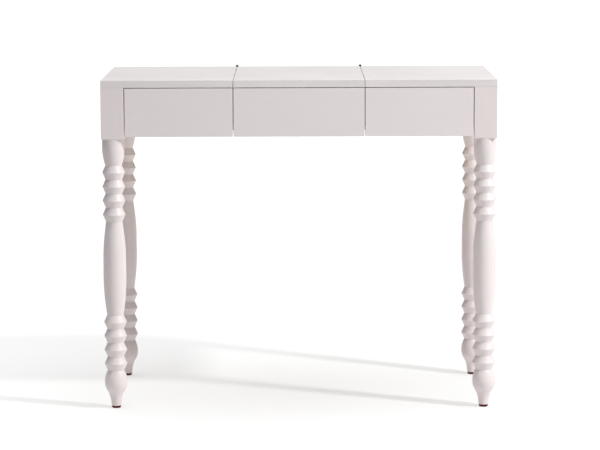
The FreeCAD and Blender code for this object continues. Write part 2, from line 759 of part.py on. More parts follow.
def clip_screw_at(x, side):
    """Head of a clip's screw."""
    y = side * (MIRROR_L / 2 + CLIP_PLAY + 0.58 * CLIP_FOOT)
    return (x, y, TOP_UNDER - CLIP_T)


def mirror_clip_screws():
    """The clips' four screws."""
    return group([placed(screw(*CLIP_SCREW), clip_screw_at(x, side), Z_AXIS) for x, side in clip_places()])


# ---- drawers
def drawer_side(x, out):
    """A drawer side whose outer face is at x, grooved for its runner and for the bottom board."""
    side = block((x, x - out * DRAWER_SIDE_T), (FRONT_BACK - DRAWER_DADO, BOX_BACK_Y), (BOX_Z, BOX_TOP))
    deep = RUNNER_OUT - DRAWER_PLAY + RUNNER_FACE_PLAY
    groove = block(
        (x + out, x - out * deep),
        (RUNNER_Y - RUNNER_STOP_PLAY, HALF_D),
        (RUNNER_Z - RUNNER_PLAY, RUNNER_Z + RUNNER_H + RUNNER_PLAY),
    )
    return side.cut(groove).cut(drawer_bottom_outline(BOARD_PLAY))


def drawer_side_outer_left():
    """Outer side of the left drawer."""
    return drawer_side(-BOX_OUT_X, -1)


def drawer_side_inner_left():
    """Inner side of the left drawer."""
    return drawer_side(-BOX_IN_X, 1)


def drawer_bottom_outline(play=0.0):
    """The left drawer's bottom board, or with play the grooves that hold it."""
    inner = DRAWER_SIDE_T - BOARD_GROOVE - 2 * play
    x = (-BOX_OUT_X + inner, -BOX_IN_X - inner)
    y = (FRONT_BACK - BOARD_GROOVE - 2 * play, BOX_BACK_Y)
    return block(x, y, (BOTTOM_Z - play, BOTTOM_Z + DRAWER_BOTTOM_T + play))


def drawer_bottom_left():
    """Bottom board of the left drawer."""
    return drawer_bottom_outline()


def drawer_back_left():
    """Back of the left drawer, between the sides and above the bottom board."""
    x = (-BOX_OUT_X + DRAWER_SIDE_T, -BOX_IN_X - DRAWER_SIDE_T)
    return block(x, (BOX_BACK_Y - DRAWER_SIDE_T, BOX_BACK_Y), (BOTTOM_Z + DRAWER_BOTTOM_T, BOX_TOP))


def drawer_front_left():
    """Plain front of the left drawer, opened by its lower edge, housed for the sides and bottom."""
    x = (-BLOCK_IN_X + FRONT_GAP, -SEAM_X - FRONT_GAP / 2)
    board = eased(block(x, (FRONT_FACE, FRONT_BACK), (APRON_FOOT, FRONT_TOP)))
    for face_x, out in ((-BOX_OUT_X, -1), (-BOX_IN_X, 1)):
        housing = block(
            (face_x + out * BOARD_PLAY, face_x - out * (DRAWER_SIDE_T + BOARD_PLAY)),
            (FRONT_BACK - DRAWER_DADO - BOARD_PLAY, 0),
            (BOX_Z - BOARD_PLAY, BOX_TOP + BOARD_PLAY),
        )
        board = board.cut(housing)
    return board.cut(drawer_bottom_outline(BOARD_PLAY))


def drawer_nails_left():
    """Nails of the left drawer: two through each side into the back, three up into the back."""
    nails = []
    back_y = BOX_BACK_Y - DRAWER_SIDE_T / 2
    low = (BOTTOM_Z + DRAWER_BOTTOM_T + RUNNER_Z - RUNNER_PLAY) / 2
    high = (BOX_TOP + RUNNER_Z + RUNNER_H + RUNNER_PLAY) / 2
    for face_x, out in ((-BOX_OUT_X, -1), (-BOX_IN_X, 1)):
        for z in (low, high):
            nails.append(placed(nail(*DRAWER_NAIL), (face_x, back_y, z), X_AXIS * -out))
    middle = -(BOX_OUT_X + BOX_IN_X) / 2
    reach = (BOX_OUT_X - BOX_IN_X) / 2 - DRAWER_SIDE_T - 2 * NAIL_INSET
    for x in (middle - reach, middle, middle + reach):
        nails.append(placed(nail(*DRAWER_NAIL), (x, back_y, BOTTOM_Z), Z_AXIS))
    return group(nails)


# ---- every node
MIRRORED = {
    "leg_front": leg_front_left,
    "leg_rear": leg_rear_left,
    "side_apron": side_apron_left,
    "upper_front_rail": upper_front_rail_left,
    "divider": divider_left,
    "runner_packer": runner_packer_left,
    "top_cleat": top_cleat_left,
    "runner_outer": runner_outer_left,
    "runner_inner": runner_inner_left,
    "top": top_left,
    "hinge_case_leaf": hinge_case_leaf_left,
    "hinge_lid_leaf": hinge_lid_leaf_left,
    "drawer_side_outer": drawer_side_outer_left,
    "drawer_side_inner": drawer_side_inner_left,
    "drawer_bottom": drawer_bottom_left,
    "drawer_back": drawer_back_left,
    "drawer_front": drawer_front_left,
    "drawer_nails": drawer_nails_left,
}

SINGLE = {
    "glide_nails": glide_nails,
    "back_panel": back_panel,
    "lower_front_rail": lower_front_rail,
    "centre_front": centre_front,
    "centre_front_cleats": centre_front_cleats,
    "compartment_floor": compartment_floor_outline,
    "runner_screws": runner_screws,
    "top_screws": top_screws,
    "frame_screws": frame_screws,
    "lid_bumpers": lid_bumpers,
    "lid_panel": lid_panel,
    "hinge_pins": hinge_pins,
    "hinge_washers": hinge_washers,
    "hinge_case_screws": hinge_case_screws,
    "hinge_lid_screws": hinge_lid_screws,
    "mirror": mirror,
    "mirror_clips": mirror_clips,
    "mirror_clip_screws": mirror_clip_screws,
}

GLIDES = {
    "glide_front_left": (-LEG_X, -LEG_Y),
    "glide_front_right": (LEG_X, -LEG_Y),
    "glide_rear_left": (-LEG_X, LEG_Y),
    "glide_rear_right": (LEG_X, LEG_Y),
}


def write(name, shape):
    """Writes one node's STEP file."""
    shape.exportStep(os.path.join("parts", name + ".step"))


def main():
    """Builds and writes every node."""
    os.makedirs("parts", exist_ok=True)
    for name, make in MIRRORED.items():
        left = make()
        write(name + "_left", left)
        write(name + "_right", mirrored(left))
    for name, make in SINGLE.items():
        write(name, make())
    for name, (x, y) in GLIDES.items():
        write(name, glide(x, y))


main()
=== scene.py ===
"""The looks of a white painted dressing table: turned legs, two drawers and a centre lid over a mirror.

Every object is in metres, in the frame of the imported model: +X to the sitter's right, +Y to the back, +Z up.
"""
import logging
import math
from dataclasses import dataclass, field
from enum import Enum
from typing import Any, Callable, Sequence

import bmesh
import bpy
from mathutils import Matrix, Vector, noise


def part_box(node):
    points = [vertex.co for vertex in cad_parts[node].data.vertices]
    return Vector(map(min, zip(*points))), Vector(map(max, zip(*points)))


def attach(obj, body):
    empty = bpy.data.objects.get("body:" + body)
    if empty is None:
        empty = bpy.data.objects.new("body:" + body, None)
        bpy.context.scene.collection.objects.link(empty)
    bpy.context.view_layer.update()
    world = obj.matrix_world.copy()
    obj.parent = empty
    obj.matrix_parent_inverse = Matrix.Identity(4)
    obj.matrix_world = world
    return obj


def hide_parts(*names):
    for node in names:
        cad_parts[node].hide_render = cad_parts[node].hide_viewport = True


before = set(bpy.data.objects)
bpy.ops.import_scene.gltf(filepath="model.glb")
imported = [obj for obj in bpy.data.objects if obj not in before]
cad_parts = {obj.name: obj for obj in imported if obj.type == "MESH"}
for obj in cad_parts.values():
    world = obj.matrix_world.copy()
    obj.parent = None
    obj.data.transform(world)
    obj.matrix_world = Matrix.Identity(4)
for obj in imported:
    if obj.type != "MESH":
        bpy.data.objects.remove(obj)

LOG = logging.getLogger("dressing_table")
GENTLE_BEND = math.radians(12.0)  # gentler bends than this aren't softened
MM = 0.001
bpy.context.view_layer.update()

Tree = bpy.types.NodeTree
Socket = bpy.types.NodeSocket
Point = tuple[float, float]
Triple = tuple[float, float, float]
Profile = list[Point]  # (radius, height) pairs
Inputs = dict[str | int, Any]  # a value or a feeding socket for each input of a node
MIDDLING: Point = (0.3, 0.7)  # where most of a noise texture's values lie
FIBRE_LENGTH = 60  # in fibre widths
BOARD_SHIFT: Triple = (3.7, 5.3, 2.9)  # each board is cut from its own place, so no two look the same


# ---------------------------------------------------------------- colour and nodes
def linear(hex_colour: str) -> tuple[float, float, float, float]:
    """Turns an sRGB hex colour into linear light.

    Args:
        hex_colour: six hex digits.

    Returns:
        Red, green, blue and an alpha of 1.
    """
    channels = []
    for i in (0, 2, 4):
        c = int(hex_colour[i:i + 2], 16) / 255
        channels.append(c / 12.92 if c <= 0.04045 else ((c + 0.055) / 1.055) ** 2.4)
    return (channels[0], channels[1], channels[2], 1.0)


def add_node(
    tree: Tree,
    kind: str,
    inputs: Inputs | None = None,
    stops: Sequence[tuple[float, str]] = (),
    **settings: Any,
) -> bpy.types.Node:
    """Adds one node with its settings and its links.

    Args:
        tree: the node tree that takes it.
        kind: the shader node's type, such as "Math".
        inputs: a value for each input socket named, or the output socket that feeds it.
        stops: for a ramp, its (position, hex colour) pairs from low to high.
        settings: the node's own settings, such as operation="ADD".

    Returns:
        The new node.
    """
    made = tree.nodes.new("ShaderNode" + kind)
    for name, value in settings.items():
        setattr(made, name, value)
    for name, value in (inputs or {}).items():
        if isinstance(value, Socket):
            tree.links.new(value, made.inputs[name])
        else:
            made.inputs[name].default_value = value
    for k, (position, colour) in enumerate(stops):
        elements = made.color_ramp.elements
        element = elements[k] if k < len(elements) else elements.new(position)
        element.position = position
        element.color = linear(colour)
    return made


def per_metre(size_mm: float) -> float:
    """The texture scale that gives features of one size, in repeats per metre."""
    return 1000 / size_mm


class Grain(Enum):
    """The direction that the fibres of a board run in."""

    X = (1.0, 0.0, 0.0)
    Y = (0.0, 1.0, 0.0)
    Z = (0.0, 0.0, 1.0)

    def stretch(self, along: float, across: float) -> Triple:
        """The texture scale of features that have one length with the grain and another across it."""
        x, y, z = (per_metre(along) if axis else per_metre(across) for axis in self.value)
        return (x, y, z)


# ---------------------------------------------------------------- finishes
@dataclass(frozen=True)
class Finish:
    """A surface finish: its maker's name and how it is laid on a new material."""

    name: str

    def material(self) -> bpy.types.Material:
        """The material, made once and shared.

        Returns:
            This finish's material.
        """
        made = bpy.data.materials.get(self.name)
        if made is not None:
            return made
        made = bpy.data.materials.new(self.name)
        made.use_nodes = True
        tree = made.node_tree
        tree.nodes.clear()
        place = add_node(tree, "TexCoord").outputs["Object"]
        own = add_node(tree, "ObjectInfo").outputs["Random"]
        board = add_node(tree, "VectorMath", {0: own, 1: BOARD_SHIFT, 2: place}, operation="MULTIPLY_ADD")
        shader = add_node(tree, "BsdfPrincipled", self.lay(tree, board.outputs[0]))
        add_node(tree, "OutputMaterial", {"Surface": shader.outputs["BSDF"]})
        return made

    def lay(self, tree: Tree, place: Socket) -> Inputs:
        """Lays the finish; each has its own way.

        Args:
            tree: the material's nodes.
            place: coordinates on the piece, in metres.

        Returns:
            What each of the shader's sockets takes.
        """
        raise NotImplementedError


@dataclass(frozen=True)
class SprayedLacquer(Finish):
    """White satin cellulose lacquer, sprayed over sealed and sanded wood.

    It gives the eye an even, faintly warm white with a soft sheen. The grain underneath prints through as
    long, barely darker streaks and shallow pores, and the film has a fine orange peel.
    """

    grain: Grain = Grain.X
    white: str = "ECE1E1"
    shade: str = "EADFDF"
    roughness: float = 0.42
    streak_mm: Point = (260.0, 7.0)  # cathedral figure of a flat-sawn board
    pore_mm: Point = (34.0, 1.1)  # real pores are 0.3 wide; drawn coarser, so that they show
    cloud_mm: float = 180.0  # overlap of the gun's passes
    peel_mm: float = 2.2
    streak_noise: Point = (5.0, 0.62)  # (layers, roughness)
    pore_noise: Point = (3.0, 0.7)
    soft_layers: float = 2.0  # of the clouds and of the peel
    tones: Point = (0.16, 0.34)  # values of the figure that show as shade and as white
    gloss_swing: float = 0.05
    peel_relief: Point = (0.05, 0.05 * MM)  # (strength, depth)
    pore_relief: Point = (0.16, 0.1 * MM)
    index: float = 1.48

    def lay(self, tree: Tree, place: Socket) -> Inputs:
        """Lays the lacquer.

        Args:
            tree: the material's nodes.
            place: coordinates on the piece, in metres.

        Returns:
            What each of the shader's sockets takes.
        """
        streak_place = add_node(
            tree, "Mapping", {"Vector": place, "Scale": self.grain.stretch(*self.streak_mm)})
        streaks = add_node(
            tree, "TexNoise",
            {"Vector": streak_place.outputs[0], "Scale": 1.0, "Detail": self.streak_noise[0],
             "Roughness": self.streak_noise[1]})
        clouds = add_node(
            tree, "TexNoise",
            {"Vector": place, "Scale": per_metre(self.cloud_mm), "Detail": self.soft_layers})
        mixed = add_node(
            tree, "Math", {0: streaks.outputs["Fac"], 1: clouds.outputs["Fac"]},
            operation="MULTIPLY")
        tone = add_node(
            tree, "ValToRGB", {"Fac": mixed.outputs[0]},
            stops=((self.tones[0], self.shade), (self.tones[1], self.white)))
        gloss = add_node(
            tree, "MapRange",
            {"Value": streaks.outputs["Fac"], "From Min": MIDDLING[0], "From Max": MIDDLING[1],
             "To Min": self.roughness - self.gloss_swing, "To Max": self.roughness + self.gloss_swing})
        peel = add_node(
            tree, "TexNoise",
            {"Vector": place, "Scale": per_metre(self.peel_mm), "Detail": self.soft_layers})
        pore_place = add_node(
            tree, "Mapping", {"Vector": place, "Scale": self.grain.stretch(*self.pore_mm)})
        pores = add_node(
            tree, "TexNoise",
            {"Vector": pore_place.outputs[0], "Scale": 1.0, "Detail": self.pore_noise[0],
             "Roughness": self.pore_noise[1]})
        film = add_node(
            tree, "Bump",
            {"Height": peel.outputs["Fac"], "Strength": self.peel_relief[0],
             "Distance": self.peel_relief[1]})
        relief = add_node(
            tree, "Bump",
            {"Height": pores.outputs["Fac"], "Strength": self.pore_relief[0],
             "Distance": self.pore_relief[1], "Normal": film.outputs["Normal"]})
        return {
            "Base Color": tone.outputs["Color"], "Roughness": gloss.outputs[0],
            "Normal": relief.outputs["Normal"], "IOR": self.index}


@dataclass(frozen=True)
class PlanedTimber(Finish):
    """Bare, sealed or waxed timber, planed and sanded.

    It gives the eye growth rings as long wavering bands, with finer fibres inside them and small pores.
    """

    grain: Grain
    early: str
    late: str
    ring_mm: float
    fibre_mm: float  # real fibres are under 0.1 wide; drawn coarser, so that they show
    roughness: float
    warp_mm: Point = (420.0, 55.0)  # how slowly the rings wander
    warp_layers: float = 2.0
    fibre_noise: Point = (4.0, 0.65)  # (layers, roughness)
    ring_share: float = 0.22  # how strongly the rings show beside the fibres
    tones: Point = (0.25, 0.78)  # values of the figure that show as early and as late wood
    gloss_swing: Point = (-0.07, 0.08)
    relief: Point = (0.35, 0.12 * MM)  # (strength, depth)
    index: float = 1.5

    def lay(self, tree: Tree, place: Socket) -> Inputs:
        """Lays the timber.

        Args:
            tree: the material's nodes.
            place: coordinates on the piece, in metres.

        Returns:
            What each of the shader's sockets takes.
        """
        warp_place = add_node(
            tree, "Mapping", {"Vector": place, "Scale": self.grain.stretch(*self.warp_mm)})
        warp = add_node(
            tree, "TexNoise",
            {"Vector": warp_place.outputs[0], "Scale": 1.0, "Detail": self.warp_layers})
        rings = add_node(
            tree, "Math",
            {0: warp.outputs["Fac"], 1: self.warp_mm[1] / self.ring_mm * 2 * math.pi}, operation="MULTIPLY")
        bands = add_node(tree, "Math", {0: rings.outputs[0]}, operation="SINE")
        fibre_place = add_node(
            tree, "Mapping",
            {"Vector": place, "Scale": self.grain.stretch(FIBRE_LENGTH * self.fibre_mm, self.fibre_mm)})
        fibre = add_node(
            tree, "TexNoise",
            {"Vector": fibre_place.outputs[0], "Scale": 1.0, "Detail": self.fibre_noise[0],
             "Roughness": self.fibre_noise[1]})
        figure = add_node(
            tree, "Math", {0: bands.outputs[0], 1: self.ring_share, 2: fibre.outputs["Fac"]},
            operation="MULTIPLY_ADD")
        tone = add_node(
            tree, "ValToRGB", {"Fac": figure.outputs[0]},
            stops=((self.tones[0], self.early), (self.tones[1], self.late)))
        gloss = add_node(
            tree, "MapRange",
            {"Value": fibre.outputs["Fac"], "From Min": MIDDLING[0], "From Max": MIDDLING[1],
             "To Min": self.roughness + self.gloss_swing[0],
             "To Max": self.roughness + self.gloss_swing[1]})
        relief = add_node(
            tree, "Bump",
            {"Height": fibre.outputs["Fac"], "Strength": self.relief[0], "Distance": self.relief[1]})
        return {
            "Base Color": tone.outputs["Color"], "Roughness": gloss.outputs[0],
            "Normal": relief.outputs["Normal"], "IOR": self.index}


@dataclass(frozen=True)
class StippledFinish(Finish):
    """A finish that is one body colour broken by a fine stipple, with a relief of the same size."""

    low: str
    high: str
    roughness: float
    stipple_mm: float
    tones: Point = (0.35, 0.65)  # values of the stipple that show as low and as high
    relief: float = 0.2  # strength of the stipple's relief
    depth_mm: float = 0.03
    layers: float = 4.0
    swirl: float = 0.0  # how far the stipple is dragged out of round
    gloss_swing: float = 0.0  # how much rougher the light stipple is than the dark
    body: tuple[tuple[str, float], ...] = ()  # the shader's own values

    def lay(self, tree: Tree, place: Socket) -> Inputs:
        """Lays the stipple.

        Args:
            tree: the material's nodes.
            place: coordinates on the piece, in metres.

        Returns:
            What each of the shader's sockets takes.
        """
        stipple = add_node(
            tree, "TexNoise",
            {"Vector": place, "Scale": per_metre(self.stipple_mm), "Detail": self.layers,
             "Distortion": self.swirl})
        tone = add_node(
            tree, "ValToRGB", {"Fac": stipple.outputs["Fac"]},
            stops=((self.tones[0], self.low), (self.tones[1], self.high)))
        sockets: Inputs = {"Base Color": tone.outputs["Color"], "Roughness": self.roughness}
        sockets.update(self.body)
        if self.relief:
            bumps = add_node(
                tree, "Bump",
                {"Height": stipple.outputs["Fac"], "Strength": self.relief, "Distance": self.depth_mm * MM})
            sockets["Normal"] = bumps.outputs["Normal"]
        if self.gloss_swing:
            gloss = add_node(
                tree, "MapRange",
                {"Value": stipple.outputs["Fac"], "From Min": MIDDLING[0], "From Max": MIDDLING[1],
                 "To Min": self.roughness - self.gloss_swing, "To Max": self.roughness + self.gloss_swing})
            sockets["Roughness"] = gloss.outputs[0]
        return sockets


# Tops: the same sprayed lacquer, where the grain prints through a little more. Its white is painted a touch
# less pink than the fronts' white, a painted tint for the light that falls on the tops from above.
WHITE_TOP = SprayedLacquer("satin_lacquer_on_tops", Grain.X, "E9E1E0", "E2DAD9")
WHITE_X = SprayedLacquer("satin_lacquer_on_fronts", Grain.X)
WHITE_Y = SprayedLacquer("satin_lacquer_on_aprons", Grain.Y)
# Legs: the same lacquer, its white painted a touch darker than the fronts' white, as painted shade on the
# turnings.
WHITE_Z = SprayedLacquer("satin_lacquer_on_legs", Grain.Z, "EADEDE", "E8DCDC")
# Bare pine rails and dividers: straw yellow, matt, with wide rings.
PINE = ("DBCAAD", "BC9F76", 11.0, 0.7, 0.6)
PINE_X = PlanedTimber("planed_pine_rail", Grain.X, *PINE)
PINE_Y = PlanedTimber("planed_pine_divider", Grain.Y, *PINE)
# Poplar drawer sides under sanding sealer: pale, smooth, hardly figured.
POPLAR = ("DED1B8", "C2AC88", 13.0, 0.5, 0.42)
POPLAR_X = PlanedTimber("sealed_poplar_back", Grain.X, *POPLAR)
POPLAR_Y = PlanedTimber("sealed_poplar_side", Grain.Y, *POPLAR)
# Rotary-cut birch face veneer: paler still, with a broad lazy figure.
BIRCH_PLY = PlanedTimber("sealed_birch_plywood", Grain.Y, "E4DAC8", "D3C2A3", 13.0, 0.45, 0.45)
# Steamed beech runners rubbed with wax: pinkish brown with a slight shine where the drawer slides.
BEECH = PlanedTimber("waxed_beech", Grain.Y, "C99A6B", "AD7B4E", 6.0, 0.4, 0.34)
# Pressed steel under baked black lacquer: near black and half gloss, so that only its arrises light up.
BLACK_STEEL = StippledFinish(
    "baked_black_lacquer_on_steel", "060606", "100E0D", 0.5, 0.7, (0.45, 0.75),
    body=(("Specular IOR Level", 0.15), ("IOR", 1.5)))
# Tumbled and zinc-plated screws: pale grey metal, its gloss broken by tumbling marks.
ZINC = StippledFinish(
    "zinc_plated_steel", "A3A096", "B9B7AE", 0.34, 0.5, relief=0.1, gloss_swing=0.09,
    body=(("Metallic", 1.0),))
# Rolled strip steel, barrel nickel-plated: warmer and glossier than zinc.
NICKEL = StippledFinish(
    "nickel_plated_steel", "BDB8AE", "CFCBC2", 0.2, 0.9, relief=0.1, gloss_swing=0.08,
    body=(("Metallic", 1.0),))
# Injection-moulded nylon: deep red brown, with flow streaks and a dull gloss.
BROWN_NYLON = StippledFinish(
    "moulded_brown_nylon", "430F08", "681C0F", 0.42, 6.0, relief=0.12, depth_mm=0.05, swirl=0.8,
    body=(("Specular IOR Level", 0.18), ("IOR", 1.53)))
# Float glass silvered on its back: a clear reflection with a faint green-grey cast and a breath of haze.
MIRROR_FACE = StippledFinish(
    "silvered_float_glass", "E6ECEA", "DCE3E1", 0.03, 90.0, (0.4, 0.7), relief=0.0,
    body=(("Metallic", 1.0),))
# The glass's ground and polished arris: deep sea green, slightly frosted.
MIRROR_EDGE = StippledFinish(
    "ground_glass_edge", "5B8577", "7FA899", 0.22, 1.5, relief=0.1, body=(("IOR", 1.52),))
# Grey protective paint rolled over the silvering: matt, with the roller's stipple.
MIRROR_BACK = StippledFinish(
    "rolled_mirror_backing_paint", "8A8F90", "9CA1A1", 0.7, 1.8, (0.4, 0.62), relief=0.4, depth_mm=0.06)
# Pressed wool felt: matt and mottled, with soft fibres that catch the light at its edge.
FELT = StippledFinish(
    "pressed_wool_felt", "7D6B58", "A08D78", 0.95, 0.9, relief=0.8, depth_mm=0.2, swirl=1.5,
    body=(("Sheen Weight", 0.4), ("Sheen Roughness", 0.5)))


# ---------------------------------------------------------------- mesh helpers
def new_piece(
    name: str,
    shape: bmesh.types.BMesh,
    finishes: Sequence[Finish],
    sharp: float = 32.0,
) -> bpy.types.Object:
    """Turns a mesh into a piece with smooth faces and crisp arrises.

    Args:
        name: the piece's name.
        shape: its mesh, in metres, in place. It is freed.
        finishes: its finishes, in the order of its faces' material numbers.
        sharp: the angle in degrees from which an edge is drawn crisp.

    Returns:
        The new object.
    """
    bmesh.ops.recalc_face_normals(shape, faces=shape.faces)
    for face in shape.faces:
        face.smooth = True
    for edge in shape.edges:
        edge.smooth = len(edge.link_faces) == 2 and edge.calc_face_angle(0.0) < math.radians(sharp)
    data = bpy.data.meshes.new(name)
    shape.to_mesh(data)
    shape.free()
    for finish in finishes:
        data.materials.append(finish.material())
    made = bpy.data.objects.new(name, data)
    bpy.context.scene.collection.objects.link(made)
    return made


def band(shape: bmesh.types.BMesh, above: Sequence[Any], below: Sequence[Any]) -> None:
    """Joins two equal loops with a band of faces.

    Args:
        shape: the mesh that takes the faces.
        above: the corners of one loop.
        below: those of the other.
    """
    for k in range(len(above)):
        after = (k + 1) % len(above)
        shape.faces.new((above[k], above[after], below[after], below[k]))


def skin_rings(shape: bmesh.types.BMesh, rings: Sequence[Sequence[Vector]]) -> None:
    """Closes a stack of equal rings into one solid, with a fan over its first and last ring.

    Args:
        shape: the mesh that takes the faces.
        rings: rings of points, each with as many points as the others.
    """
    loops = [[shape.verts.new(point) for point in ring] for ring in rings]
    for above, below in zip(loops, loops[1:]):
        band(shape, above, below)
    for loop in (loops[0], loops[-1]):
        middle = shape.verts.new(sum((v.co for v in loop), Vector()) / len(loop))
        for k in range(len(loop)):
            shape.faces.new((loop[k], loop[(k + 1) % len(loop)], middle))


def ring_of(radius: float, height: float, count: int, centre: Point) -> list[Vector]:
    """Points evenly spaced on a level circle.

    Args:
        radius: the circle's radius.
        height: its level.
        count: how many points.
        centre: the circle's middle in plan.

    Returns:
        The points, counter-clockwise from +X.
    """
    points = []
    for k in range(count):
        angle = 2 * math.pi * k / count
        x, y = centre[0] + radius * math.cos(angle), centre[1] + radius * math.sin(angle)
        points.append(Vector((x, y, height)))
    return points


def softened(profile: Profile, radius: float, steps: int = 3) -> Profile:
    """Rounds each corner of a profile with a short parabola, as filled and sanded paint does.

    Args:
        profile: (radius, height) points.
        radius: how far from a corner the rounding starts.
        steps: points per corner, less one.

    Returns:
        The rounded profile.
    """
    out = [profile[0]]
    for before, here, after in zip(profile, profile[1:], profile[2:]):
        a, b, c = Vector(before), Vector(here), Vector(after)
        turn = (b - a).angle(c - b, 0.0)
        if turn < GENTLE_BEND:
            out.append(here)
            continue
        start = b + (a - b).normalized() * min(radius, (a - b).length / 2)
        end = b + (c - b).normalized() * min(radius, (c - b).length / 2)
        for k in range(steps + 1):
            t = k / steps
            point = start * (1 - t) ** 2 + b * 2 * t * (1 - t) + end * t * t
            out.append((point.x, point.y))
    out.append(profile[-1])
    return out


def arc_points(a: Point, through: Point, b: Point, steps: int) -> Profile:
    """Points on the circle through three profile points, from a to b, without a itself.

    Args:
        a: first point.
        through: a point between them.
        b: last point.
        steps: how many points are given back.

    Returns:
        The points after a, ending in b.
    """
    (ax, ay), (bx, by), (cx, cy) = a, through, b
    d = 2 * (ax * (by - cy) + bx * (cy - ay) + cx * (ay - by))
    a2, b2, c2 = ax * ax + ay * ay, bx * bx + by * by, cx * cx + cy * cy
    ux = (a2 * (by - cy) + b2 * (cy - ay) + c2 * (ay - by)) / d
    uy = (a2 * (cx - bx) + b2 * (ax - cx) + c2 * (bx - ax)) / d
    start = math.atan2(ay - uy, ax - ux)
    sweep = math.atan2(cy - uy, cx - ux) - start
    sweep = (sweep + math.pi) % (2 * math.pi) - math.pi
    r = math.hypot(ax - ux, ay - uy)
    return [
        (ux + r * math.cos(start + sweep * k / steps), uy + r * math.sin(start + sweep * k / steps))
        for k in range(1, steps + 1)
    ]


def block_mesh(low: Vector, high: Vector) -> bmesh.types.BMesh:
    """A plain block between two corners, to be worked further.

    Args:
        low: its lowest corner.
        high: its highest corner.

    Returns:
        The mesh, in metres.
    """
    shape = bmesh.new()
    size = Matrix.Diagonal((*(high - low), 1.0))
    bmesh.ops.create_cube(shape, size=1.0, matrix=Matrix.Translation((low + high) / 2) @ size)
    return shape


def drill(piece: bpy.types.Object, rings: Sequence[Sequence[Vector]]) -> None:
    """Cuts one turned hole out of a piece for good.

    Args:
        piece: the piece to cut.
        rings: the hole's rings of points, in metres.
    """
    shape = bmesh.new()
    skin_rings(shape, rings)
    cutter = new_piece(piece.name + "_drill", shape, [])
    cut = piece.modifiers.new("drill", "BOOLEAN")
    cut.operation = "DIFFERENCE"
    cut.solver = "EXACT"
    cut.object = cutter
    bpy.context.view_layer.update()
    spent = (piece.data, cutter.data)
    worked = piece.evaluated_get(bpy.context.evaluated_depsgraph_get())
    piece.data = bpy.data.meshes.new_from_object(worked)
    piece.modifiers.clear()
    bpy.data.objects.remove(cutter)
    for mesh in spent:
        bpy.data.meshes.remove(mesh)


def dress(nodes: Sequence[str], finish: Finish) -> None:
    """Gives carried-over CAD nodes their finish.

    Args:
        nodes: the nodes' names.
        finish: the finish that they take.
    """
    for name in nodes:
        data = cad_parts[name].data
        data.materials.clear()
        data.materials.append(finish.material())
    LOG.info("dressed %s in %s", ", ".join(nodes), finish.name)


def both(stem: str) -> list[str]:
    """The left and right node of a pair."""
    return [stem + "_left", stem + "_right"]


def carry(piece: bpy.types.Object, body: str, nodes: Sequence[str]) -> None:
    """Hangs a new piece on its body in place of CAD nodes, and reports it.

    Args:
        piece: the finished piece.
        body: the CAD body it moves with.
        nodes: the CAD nodes it stands for.
    """
    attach(piece, body)
    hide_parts(*nodes)
    faces = len(piece.data.polygons)
    LOG.info("%s: %d faces, rides on %s, for %s", piece.name, faces, body, ", ".join(nodes))


